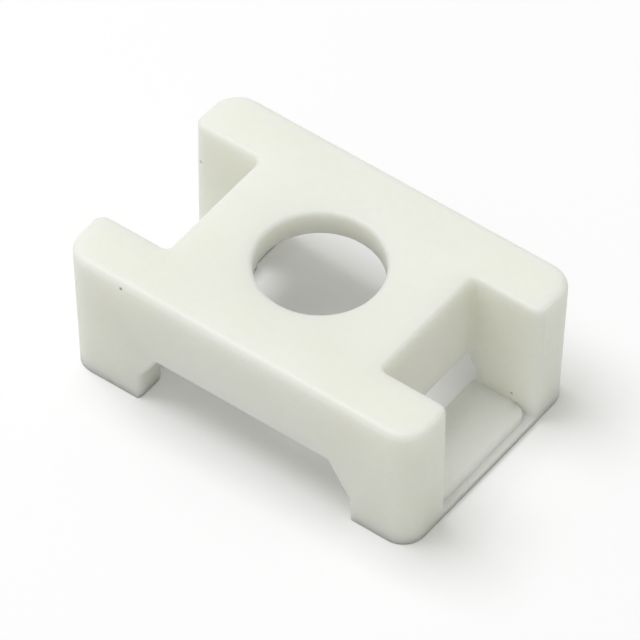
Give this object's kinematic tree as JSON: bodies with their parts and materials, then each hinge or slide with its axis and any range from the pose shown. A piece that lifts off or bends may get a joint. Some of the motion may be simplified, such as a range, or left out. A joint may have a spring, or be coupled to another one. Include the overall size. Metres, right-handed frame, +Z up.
{
  "type": "cable tie mount",
  "caption": "Low screw-fixed saddle for cable ties, with a round screw hole through its deck, an open notch in each end, and a gap over a low sill so a tie can thread lengthwise under the deck.",
  "frame": {"origin": "on the screw hole's axis, in the plane the feet stand on", "axes": "+X along the length, the way a tie is threaded; +Y across the width; +Z up from the mounting surface, along the screw hole"},
  "size_m": [0.022, 0.0142, 0.0084],
  "materials": {
    "nylon": "satin, natural ivory nylon"
  },
  "bodies": {
    "root": {"tie_mount": "nylon"}
  },
  "joints": []
}
